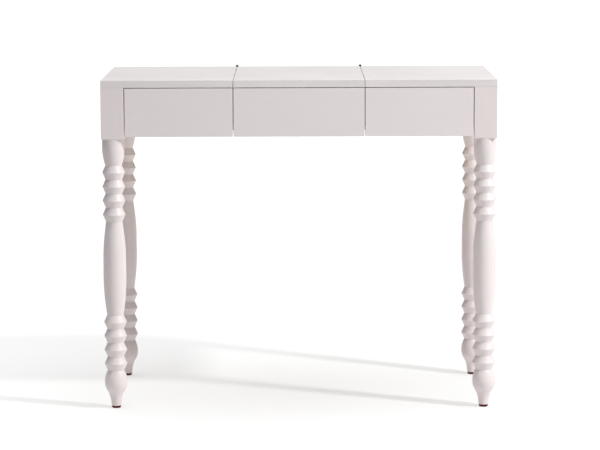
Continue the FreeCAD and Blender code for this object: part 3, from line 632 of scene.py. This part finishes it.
# ---------------------------------------------------------------- studio
@dataclass
class Studio:
    """Camera, pale floor and soft lights around the table. Lengths are in metres, angles in radians."""

    eye: Triple = (-0.006, -6.1296, 1.215)
    yaw: float = 0.00126
    pitch: float = 0.1316  # looks down
    roll: float = -0.00336
    lens_mm: float = 154.23
    sensor_mm: float = 36.0
    far_limit: float = 500.0
    floor_reach: float = 60.0
    floor_panes: int = 8
    floor_colour: str = "A9A8A8"
    floor_roughness: float = 0.9
    floor_light: str = "FFFDFD"
    floor_glow: float = 0.56
    pool_centre: Point = (0.7, -1.1)  # the lit pool of floor that throws light back at the table
    pool_radii: Point = (1.5, 3.2)
    pool_edge: Point = (0.8, 1.3)  # where it starts and ends to fade, in pool radii
    outside_share: float = 0.03  # what is thrown back from outside the pool
    far_glow: float = 0.8  # the far floor looks brighter, so that it meets the backdrop
    far_edge: float = 2.4
    sky_colour: str = "FDFCFC"
    sky_power: float = 0.02
    wall_power: float = 0.6  # the walls, as only reflections show them
    wall_foot: float = math.sin(math.radians(14.0))
    wall_head: float = math.sin(math.radians(32.0))
    front_wall: Point = (0.2, -0.4)  # direction Y where the front wall starts and is full
    box_colour: str = "FAFFFF"
    box_power: float = 2.56
    box_veil: float = 0.35  # how much of the softbox shows in reflections
    box_edge: float = math.cos(math.radians(41.0))
    box_full: float = math.cos(math.radians(29.0))
    key_from: Triple = (0.71, -0.36, 0.59)
    key_aim: Triple = (0.0, 0.0, 0.5)
    key_colour: str = "FAFFFF"
    key_light: float = 2.35  # watts per square metre at the table
    key_reach: float = 5.5
    key_span: float = 0.46

    def build(self) -> None:
        """Sets up camera, floor, sky and key light, and the plain view transform."""
        bpy.context.scene.view_settings.view_transform = "Standard"
        self.set_camera()
        self.lay_floor()
        self.set_sky()
        self.set_key()
        LOG.info("studio: camera %.1f mm, key from %s", self.lens_mm, self.key_from)

    def set_camera(self) -> None:
        """Stands the camera at its place and makes it the scene's."""
        ahead = Vector((
            math.sin(self.yaw) * math.cos(self.pitch),
            math.cos(self.yaw) * math.cos(self.pitch),
            -math.sin(self.pitch),
        ))
        level = Vector((math.cos(self.yaw), -math.sin(self.yaw), 0.0))
        rise = level.cross(ahead)
        right = math.cos(self.roll) * level + math.sin(self.roll) * rise
        up = math.cos(self.roll) * rise - math.sin(self.roll) * level
        lens = bpy.data.cameras.new("camera")
        lens.sensor_fit = "HORIZONTAL"
        lens.sensor_width = self.sensor_mm
        lens.lens = self.lens_mm
        lens.clip_end = self.far_limit
        camera = bpy.data.objects.new("camera", lens)
        camera.matrix_world = Matrix.Translation(self.eye) @ Matrix((right, up, -ahead)).transposed().to_4x4()
        bpy.context.scene.collection.objects.link(camera)
        bpy.context.scene.camera = camera

    def lay_floor(self) -> None:
        """Lays a wide pale floor that glows a little, like a backlit acrylic sweep.

        Its light reaches the table only from a pool in front and to the right, which leaves the legs'
        left sides in shade. It can be looked through from below, to show the table's underside.
        """
        sheet = bmesh.new()
        bmesh.ops.create_grid(
            sheet, x_segments=self.floor_panes, y_segments=self.floor_panes, size=self.floor_reach)
        data = bpy.data.meshes.new("floor")
        sheet.to_mesh(data)
        sheet.free()
        paint = bpy.data.materials.new("pale_floor")
        paint.use_nodes = True
        tree = paint.node_tree
        tree.nodes.clear()
        where = add_node(tree, "NewGeometry")
        offset = add_node(
            tree, "VectorMath", {0: where.outputs["Position"], 1: (*self.pool_centre, 0.0)},
            operation="SUBTRACT")
        scaled = add_node(
            tree, "VectorMath", {0: offset.outputs[0], 1: (*self.pool_radii, 1.0)},
            operation="DIVIDE")
        reach = add_node(tree, "VectorMath", {0: scaled.outputs[0]}, operation="LENGTH")
        pool = add_node(
            tree, "MapRange",
            {"Value": reach.outputs["Value"], "From Min": self.pool_edge[0], "From Max": self.pool_edge[1],
             "To Min": self.floor_glow, "To Max": self.floor_glow * self.outside_share},
            interpolation_type="SMOOTHSTEP")
        shown = add_node(
            tree, "MapRange",
            {"Value": reach.outputs["Value"], "From Min": self.pool_edge[0], "From Max": self.far_edge,
             "To Min": self.floor_glow, "To Max": self.far_glow})
        bounced = add_node(tree, "LightPath").outputs["Is Diffuse Ray"]
        glow = add_node(
            tree, "Mix", {"Factor": bounced, 2: shown.outputs[0], 3: pool.outputs[0]},
            data_type="FLOAT")
        shader = add_node(
            tree, "BsdfPrincipled",
            {"Base Color": linear(self.floor_colour), "Roughness": self.floor_roughness,
             "Specular IOR Level": 0.0, "Emission Color": linear(self.floor_light),
             "Emission Strength": glow.outputs[0]})
        through = add_node(tree, "BsdfTransparent")
        one_sided = add_node(
            tree, "MixShader",
            {0: where.outputs["Backfacing"], 1: shader.outputs["BSDF"], 2: through.outputs[0]})
        add_node(tree, "OutputMaterial", {"Surface": one_sided.outputs[0]})
        data.materials.append(paint)
        floor = bpy.data.objects.new("floor", data)
        bpy.context.scene.collection.objects.link(floor)

    def set_sky(self) -> None:
        """Hangs one wide white softbox overhead in a dim room with pale walls.

        The walls show in reflections and behind the table, but throw no light on it. Low down at the back
        they stay dark in reflections, so that the sheen doesn't bleach the tops.
        """
        world = bpy.data.worlds.new("overhead_softbox")
        world.use_nodes = True
        tree = world.node_tree
        tree.nodes.clear()
        way = add_node(tree, "TexCoord").outputs["Generated"]
        parts = add_node(tree, "SeparateXYZ", {0: way})
        share = add_node(
            tree, "MapRange",
            {"Value": parts.outputs["Z"], "From Min": self.box_edge, "From Max": self.box_full,
             "To Min": 0.0, "To Max": self.box_power}, interpolation_type="SMOOTHSTEP")
        seen = add_node(tree, "LightPath")
        upper = add_node(
            tree, "MapRange",
            {"Value": parts.outputs["Z"], "From Min": self.wall_foot, "From Max": self.wall_head},
            interpolation_type="SMOOTHSTEP")
        front = add_node(
            tree, "MapRange",
            {"Value": parts.outputs["Y"], "From Min": self.front_wall[0], "From Max": self.front_wall[1]},
            interpolation_type="SMOOTHSTEP")
        walls = add_node(
            tree, "Math", {0: upper.outputs[0], 1: front.outputs[0]}, operation="MAXIMUM")
        wall = add_node(
            tree, "MapRange",
            {"Value": walls.outputs[0], "To Min": self.sky_power, "To Max": self.wall_power})
        mirrored = add_node(
            tree, "Mix",
            {"Factor": seen.outputs["Is Glossy Ray"], 2: self.sky_power, 3: wall.outputs[0]},
            data_type="FLOAT")
        shown = add_node(
            tree, "Mix", {"Factor": seen.outputs["Is Camera Ray"], 2: mirrored.outputs[0], 3: 1.0},
            data_type="FLOAT")
        room = add_node(
            tree, "Background", {"Color": linear(self.sky_colour), "Strength": shown.outputs[0]})
        veiled = add_node(
            tree, "Math", {0: seen.outputs["Is Glossy Ray"], 1: self.box_veil - 1.0, 2: 1.0},
            operation="MULTIPLY_ADD")
        power = add_node(
            tree, "Math", {0: share.outputs[0], 1: veiled.outputs[0]}, operation="MULTIPLY")
        box = add_node(
            tree, "Background", {"Color": linear(self.box_colour), "Strength": power.outputs[0]})
        both_lights = add_node(tree, "AddShader", {0: room.outputs[0], 1: box.outputs[0]})
        add_node(tree, "OutputWorld", {"Surface": both_lights.outputs[0]})
        bpy.context.scene.world = world

    def set_key(self) -> None:
        """Stands one small round softbox to the right, which gives a soft edge to its shadows."""
        lamp = bpy.data.lights.new("key", "AREA")
        lamp.shape = "DISK"
        lamp.size = self.key_span
        lamp.energy = self.key_light * math.pi * self.key_reach ** 2
        lamp.color = linear(self.key_colour)[:3]
        way = Vector(self.key_from).normalized()
        key = bpy.data.objects.new("key", lamp)
        key.location = Vector(self.key_aim) + way * self.key_reach
        key.rotation_euler = way.to_track_quat("Z", "Y").to_euler()
        bpy.context.scene.collection.objects.link(key)


# ---------------------------------------------------------------- legs
class Corner(Enum):
    """A corner of the table, as its legs and glides are named."""

    FRONT_LEFT = "front_left"
    FRONT_RIGHT = "front_right"
    REAR_LEFT = "rear_left"
    REAR_RIGHT = "rear_right"


@dataclass
class TurnedLeg:
    """One leg: a square block on a turning of beads, belly, beads and bulb foot. Sizes in millimetres."""

    corner: Corner
    block_half: float = 26.5
    block_height: float = 118.5
    arris: float = 0.9
    shoulder_r: float = 26.1
    groove_r: float = 19.2
    peak_r: float = 26.4
    bead_pitch: float = 32.8
    bead_flat: float = 0.5
    beads: int = 4
    belly_r: float = 26.5
    shoulder_straight: float = 23.9
    shoulder_curve: float = 39.0
    foot_len: float = 83.5
    shoulder_bow: float = 0.27  # share of the shoulder's fall that is reached at its mid height
    cone_marks: Point = (0.04, 0.1)  # rings that keep the belly's neck cone straight
    neck: Point = (0.165, 0.6)  # (share of the belly's length, share of its fullness)
    swell: Point = (0.265, 0.86)
    full: Point = (0.415, 0.975)
    crown: Point = (0.53, 1.0)
    waist: Point = (0.645, 0.99)
    fall: Point = (0.82, 0.68)
    foot_swell: Point = (24.1, 0.14)  # (radius, share of the foot's length)
    bulb: Point = (26.5, 0.32)
    bulb_fall: Point = (25.4, 0.45)
    under: Point = (21.8, 0.56)
    hollow: Point = (15.8, 0.7)
    ankle: Point = (12.4, 0.86)
    end_r: float = 11.4
    paint_fill: float = 0.7
    flats: int = 22
    corner_steps: int = 5
    arris_steps: int = 4
    shoulder_steps: int = 16
    belly_steps: tuple[int, int, int] = (20, 14, 26)
    foot_steps: tuple[int, int, int] = (18, 14, 14)
    top_ring: float = 1.5  # rings this far from the block's ends keep its flats flat in the light
    foot_ring: float = 2.25
    finish: Finish = WHITE_Z

    def node(self) -> str:
        """The CAD node that this leg stands for."""
        return f"leg_{self.corner.value}"

    def axis(self) -> tuple[float, float, float, float]:
        """The leg's place from its CAD node.

        Returns:
            Its axis in plan, its lowest and its highest level, in millimetres.
        """
        low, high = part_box(self.node())
        x = (low.x + high.x) / 2 / MM
        y = (low.y + high.y) / 2 / MM
        return x, y, low.z / MM, high.z / MM

    def turning(self, foot_z: float, block_foot: float) -> Profile:
        """The turned profile from the block's foot down, with sanded-over corners.

        Args:
            foot_z: level of the foot's end.
            block_foot: level of the block's foot.

        Returns:
            (radius, height) points from the block's foot to the glide.
        """
        here = (self.shoulder_r, block_foot - self.shoulder_straight)
        groove = (self.groove_r, here[1] - self.shoulder_curve)
        fall = self.shoulder_bow * (self.shoulder_r - self.groove_r)
        bow = (self.shoulder_r - fall, here[1] - self.shoulder_curve / 2)
        points = [(self.shoulder_r, block_foot), here] + arc_points(here, bow, groove, self.shoulder_steps)
        z = self.bead_run(points, groove[1])
        z = self.belly(points, z, foot_z + self.foot_len + self.beads * self.bead_pitch)
        z = self.bead_run(points, z)
        self.foot(points, z, foot_z)
        return points

    def bead_run(self, points: Profile, z: float) -> float:
        """Adds a run of sharp beads below a groove.

        Args:
            points: the profile so far, which is added to.
            z: level of the groove.

        Returns:
            The level of the groove that ends the run.
        """
        for _ in range(self.beads):
            middle = z - self.bead_pitch / 2
            points.append((self.peak_r, middle + self.bead_flat / 2))
            points.append((self.peak_r, middle - self.bead_flat / 2))
            z -= self.bead_pitch
            points.append((self.groove_r, z))
        return z

    def belly(self, points: Profile, z: float, end_z: float) -> float:
        """Adds the long belly: a coned neck, a full middle and a quicker fall.

        Args:
            points: the profile so far, which is added to.
            z: level of the groove above.
            end_z: level of the groove below.

        Returns:
            The level of the groove below.
        """
        length, rise = z - end_z, self.belly_r - self.groove_r

        def at(mark: Point) -> Point:
            """A profile point at a share of the length and of the fullness."""
            return (self.groove_r + mark[1] * rise, z - mark[0] * length)

        cone = self.neck[1] / self.neck[0]
        points += [at((mark, mark * cone)) for mark in self.cone_marks]
        points.append(at(self.neck))
        upper, middle, lower = self.belly_steps
        points += arc_points(at(self.neck), at(self.swell), at(self.full), upper)
        points += arc_points(at(self.full), at(self.crown), at(self.waist), middle)
        points += arc_points(at(self.waist), at(self.fall), (self.groove_r, end_z), lower)
        return end_z

    def foot(self, points: Profile, z: float, foot_z: float) -> None:
        """Adds the bulb and the ankle.

        Args:
            points: the profile so far, which is added to.
            z: level of the groove above.
            foot_z: level of the foot's end.
        """
        length = z - foot_z

        def at(mark: Point) -> Point:
            """A profile point at a radius and a share of the foot's length."""
            return (mark[0], z - mark[1] * length)

        upper, middle, lower = self.foot_steps
        points += arc_points(points[-1], at(self.foot_swell), at(self.bulb), upper)
        points += arc_points(at(self.bulb), at(self.bulb_fall), at(self.under), middle)
        points += arc_points(at(self.under), at(self.hollow), at(self.ankle), lower)
        points.append((self.end_r, foot_z))

    def angles(self) -> list[float]:
        """Directions of the ring points: the block's flats evenly, and each rounded corner closely.

        Returns:
            Angles from 0 to 2 pi.
        """
        inner = self.block_half - self.arris
        quarter = []
        for k in range(self.flats + 1):
            quarter.append(math.atan2(-inner + 2 * inner * k / self.flats, self.block_half))
        for k in range(1, self.corner_steps):
            turn = math.pi / 2 * k / self.corner_steps
            corner = (inner + self.arris * math.cos(turn), inner + self.arris * math.sin(turn))
            quarter.append(math.atan2(corner[1], corner[0]))
        return [a + side * math.pi / 2 for side in range(4) for a in quarter]

    def square_radius(self, angle: float, shrink: float) -> float:
        """Distance from the axis to the block's rounded square outline.

        Args:
            angle: direction in plan.
            shrink: how far the outline is drawn in, as it is over the rounded foot arris.

        Returns:
            The distance.
        """
        c, s = abs(math.cos(angle)), abs(math.sin(angle))
        half, inner = self.block_half - shrink, self.block_half - self.arris
        big, small = max(c, s), min(c, s)
        flat = half / big
        if flat * small <= inner:
            return flat
        radius = max(half - inner, 0.0)
        toward = inner * (c + s)
        return toward + math.sqrt(max(toward ** 2 - 2 * inner ** 2 + radius ** 2, 0.0))

    def rings(self, x: float, y: float, foot_z: float, top_z: float) -> list[list[Vector]]:
        """All the rings of the leg, from the top of the block down.

        Args:
            x: the leg's axis in plan.
            y: the same.
            foot_z: level of the foot's end.
            top_z: level of the block's top.

        Returns:
            Rings of points, in metres.
        """
        angles = self.angles()
        block_foot = top_z - self.block_height
        levels: list[tuple[float, Callable[[float], float]]] = []
        for z in (top_z, top_z - self.top_ring, (top_z + block_foot) / 2, block_foot + self.foot_ring):
            levels.append((z, lambda a: self.square_radius(a, 0.0)))
        for k in range(self.arris_steps + 1):
            turn = math.pi / 2 * k / self.arris_steps
            shrink = self.arris * (1 - math.cos(turn))
            z = block_foot + self.arris * (1 - math.sin(turn))
            levels.append((z, lambda a, shrink=shrink: max(self.square_radius(a, shrink), self.shoulder_r)))
        for radius, z in softened(self.turning(foot_z, block_foot), self.paint_fill):
            levels.append((z, lambda a, radius=radius: radius))
        rings = []
        for z, reach in levels:
            ring = []
            for a in angles:
                r = reach(a)
                ring.append(Vector((x + r * math.cos(a), y + r * math.sin(a), z)) * MM)
            rings.append(ring)
        return rings

    def build(self) -> None:
        """Builds the leg in place of its CAD node."""
        shape = bmesh.new()
        skin_rings(shape, self.rings(*self.axis()))
        leg = new_piece(f"turned_leg_{self.corner.value}", shape, [self.finish])
        carry(leg, "table", [self.node()])


# ---------------------------------------------------------------- glides
@dataclass
class Glide:
    """A nail-on glide: a moulded disc with a rounded tread round a sunk, domed nail head. Millimetres."""

    corner: Corner
    tread_round: float = 2.4
    rim: float = 0.35
    nail_r: float = 1.3
    sink_r: float = 3.2
    sink: float = 2.0
    sink_edge: float = 0.2
    steps: int = 6
    count: int = 64

    def build(self) -> None:
        """Builds the disc in place of its CAD node."""
        node = f"glide_{self.corner.value}"
        low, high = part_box(node)
        centre = ((low.x + high.x) / 2, (low.y + high.y) / 2)
        radius, top = (high.x - low.x) / 2 / MM, high.z / MM
        profile = [(self.nail_r, top), (radius - self.rim, top), (radius, top - self.rim)]
        for k in range(self.steps + 1):
            turn = math.pi / 2 * k / self.steps
            inward, up = 1 - math.cos(turn), 1 - math.sin(turn)
            profile.append((radius - self.tread_round * inward, self.tread_round * up))
        profile += [
            (self.sink_r + self.sink_edge, 0.0), (self.sink_r, self.sink_edge),
            (self.sink_r, self.sink), (self.nail_r, self.sink)]
        shape = bmesh.new()
        loops = [
            [shape.verts.new(point) for point in ring_of(r * MM, z * MM, self.count, centre)]
            for r, z in profile
        ]
        for above, below in zip(loops, loops[1:] + loops[:1]):
            band(shape, above, below)
        disc = new_piece(f"moulded_glide_{self.corner.value}", shape, [BROWN_NYLON])
        carry(disc, "table", [node])


# ---------------------------------------------------------------- lid
@dataclass
class MirrorPlate:
    """A plate of float glass, silvered and painted on its upper face, with ground arrises."""

    arris: float = 0.6 * MM
    bevel_steps: int = 3
    level: float = 0.99  # a face counts as level when its normal is this upright

    def build(self) -> None:
        """Builds the plate in place of its CAD node."""
        shape = block_mesh(*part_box("mirror"))
        bmesh.ops.bevel(
            shape, geom=shape.edges[:], offset=self.arris, segments=self.bevel_steps, profile=0.5,
            affect="EDGES")
        bmesh.ops.recalc_face_normals(shape, faces=shape.faces)
        for face in shape.faces:
            upright = face.normal.z
            face.material_index = 0 if upright < -self.level else 2 if upright > self.level else 1
        plate = new_piece("mirror_plate", shape, [MIRROR_FACE, MIRROR_EDGE, MIRROR_BACK])
        carry(plate, "lid", ["mirror"])


@dataclass
class MirrorClips:
    """Four clips bent from strip, each lapping an edge of the mirror and screwed to the lid. Millimetres."""

    width: float = 16.0
    spread: float = 84.0
    strip: float = 1.6
    lap: float = 5.0
    foot: float = 12.0
    play: float = 0.2
    inner_bend: float = 0.5
    edge_round: float = 0.35
    bend_steps: int = 5
    screw_share: float = 0.58  # the screw's place along the foot
    seat: tuple[Point, ...] = ((2.6, -0.05), (2.6, 0.0), (1.3, 1.3), (1.3, 1.7))
    seat_steps: int = 40

    def course(self) -> list[Point]:
        """The strip's outline from the side: out from the mirror's edge, and up from the clip's lowest face.

        Returns:
            (out, up) points round the strip.
        """
        low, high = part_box("mirror_clips")
        rise = (high.z - low.z) / MM
        near, far = self.play, self.play + self.strip
        tip, heel = -self.lap, self.play + self.foot
        outer = self.inner_bend + self.strip
        corners = (
            (tip, 0.0, self.edge_round), (far, 0.0, outer),
            (far, rise - self.strip, self.inner_bend), (heel, rise - self.strip, self.edge_round),
            (heel, rise, self.edge_round), (near, rise, outer),
            (near, self.strip, self.inner_bend), (tip, self.strip, self.edge_round))
        outline = []
        for k, (x, z, radius) in enumerate(corners):
            here = Vector((x, z))
            before = (Vector(corners[k - 1][:2]) - here).normalized()
            after = (Vector(corners[(k + 1) % len(corners)][:2]) - here).normalized()
            middle = here + (before + after) * radius
            for step in range(self.bend_steps + 1):
                turn = math.pi / 2 * step / self.bend_steps
                point = middle - after * radius * math.cos(turn) - before * radius * math.sin(turn)
                outline.append((point.x, point.y))
        return outline

    def clip(self, name: str, x: float, side: int) -> None:
        """Builds one clip.

        Args:
            name: the piece's name.
            x: the clip's middle, in millimetres.
            side: 1 at the back edge of the mirror, -1 at the front edge.
        """
        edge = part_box("mirror")[side > 0].y / MM
        low, high = (corner.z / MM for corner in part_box("mirror_clips"))
        shape = bmesh.new()
        loops = []
        for end in (x - self.width / 2, x + self.width / 2):
            points = [Vector((end, edge + side * out, low + up)) * MM for out, up in self.course()]
            loops.append([shape.verts.new(point) for point in points])
        band(shape, *loops)
        for loop in loops:
            shape.faces.new(loop)
        piece = new_piece(name, shape, [NICKEL])
        y = edge + side * (self.play + self.screw_share * self.foot)
        hole = []
        for radius, up in self.seat:
            ring = ring_of(radius, high - self.strip + up, self.seat_steps, (x, y))
            hole.append([point * MM for point in ring])
        drill(piece, hole)
        carry(piece, "lid", ["mirror_clips"])

    def build(self) -> None:
        """Builds the four clips in place of their CAD node."""
        for end, side in (("front", -1), ("back", 1)):
            for hand, x in (("left", -self.spread), ("right", self.spread)):
                self.clip(f"mirror_clip_{end}_{hand}", x, side)


@dataclass
class FeltPads:
    """Three felt discs on the centre front that the closed lid rests on. Millimetres."""

    places: tuple[float, ...] = (-118.0, 0.0, 118.0)
    fray: float = 0.35
    fray_from: float = 0.8  # share of the radius from which the edge is frayed
    tufts: float = 1.3  # tufts per millimetre
    count: int = 56
    outline: tuple[Point, ...] = (
        (0.45, 1.0), (0.82, 0.98), (0.93, 0.86), (1.0, 0.6), (0.99, 0.3), (0.95, 0.0), (0.5, 0.0))

    def build(self) -> None:
        """Cuts the discs, with a frayed and rounded edge, in place of their CAD node."""
        low, high = (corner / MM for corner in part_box("lid_bumpers"))
        radius, thick = (high.y - low.y) / 2, high.z - low.z
        y = (low.y + high.y) / 2
        for number, x in enumerate(self.places, 1):
            rings = []
            for share, up in self.outline:
                ring = ring_of(share * radius, low.z + up * thick, self.count, (x, y))
                for point in ring:
                    tuft = 0.5 + 0.5 * noise.noise(point * self.tufts)
                    out = Vector((point.x - x, point.y - y, 0.0))
                    point -= out.normalized() * self.fray * tuft * (share > self.fray_from)
                rings.append([point * MM for point in ring])
            shape = bmesh.new()
            skin_rings(shape, rings)
            pad = new_piece(f"felt_pad_{number}", shape, [FELT], sharp=60.0)
            carry(pad, "table", ["lid_bumpers"])


@dataclass
class Lid:
    """The centre lid: its board, the mirror under it, the clips and the hinges' moving leaves."""

    mirror: MirrorPlate = field(default_factory=MirrorPlate)
    clips: MirrorClips = field(default_factory=MirrorClips)

    def build(self) -> None:
        """Builds and dresses the lid."""
        dress(["lid_panel"], WHITE_TOP)
        self.mirror.build()
        self.clips.build()
        dress([*both("hinge_lid_leaf"), "hinge_lid_screws"], BLACK_STEEL)
        dress(["mirror_clip_screws"], ZINC)


# ---------------------------------------------------------------- case and drawers
@dataclass
class Case:
    """The fixed part: legs and glides, boards, frame, runners and the hinges' fixed leaves."""

    pads: FeltPads = field(default_factory=FeltPads)

    def build(self) -> None:
        """Builds and dresses the case."""
        for corner in Corner:
            TurnedLeg(corner).build()
            Glide(corner).build()
        self.pads.build()
        dress(both("top"), WHITE_TOP)
        dress(["centre_front", "back_panel"], WHITE_X)
        dress(both("side_apron"), WHITE_Y)
        dress(["lower_front_rail", *both("upper_front_rail"), "centre_front_cleats"], PINE_X)
        dress([*both("divider"), *both("runner_packer"), *both("top_cleat")], PINE_Y)
        dress(["compartment_floor"], BIRCH_PLY)
        dress([*both("runner_outer"), *both("runner_inner")], BEECH)
        dress([*both("hinge_case_leaf"), "hinge_pins", "hinge_washers", "hinge_case_screws"], BLACK_STEEL)
        dress(["frame_screws", "top_screws", "runner_screws", "glide_nails"], ZINC)


@dataclass
class Drawer:
    """One drawer: a painted front nailed to a poplar box with a plywood bottom."""

    hand: str

    def build(self) -> None:
        """Dresses the drawer's boards and nails."""
        dress([f"drawer_front_{self.hand}"], WHITE_X)
        dress([f"drawer_side_outer_{self.hand}", f"drawer_side_inner_{self.hand}"], POPLAR_Y)
        dress([f"drawer_back_{self.hand}"], POPLAR_X)
        dress([f"drawer_bottom_{self.hand}"], BIRCH_PLY)
        dress([f"drawer_nails_{self.hand}"], ZINC)


def main() -> None:
    """Builds the studio and the table's sub-assemblies in order."""
    Studio().build()
    Case().build()
    for hand in ("left", "right"):
        Drawer(hand).build()
    Lid().build()


if __name__ == "__main__":
    logging.basicConfig(level=logging.INFO, format="%(name)s: %(message)s")
    main()
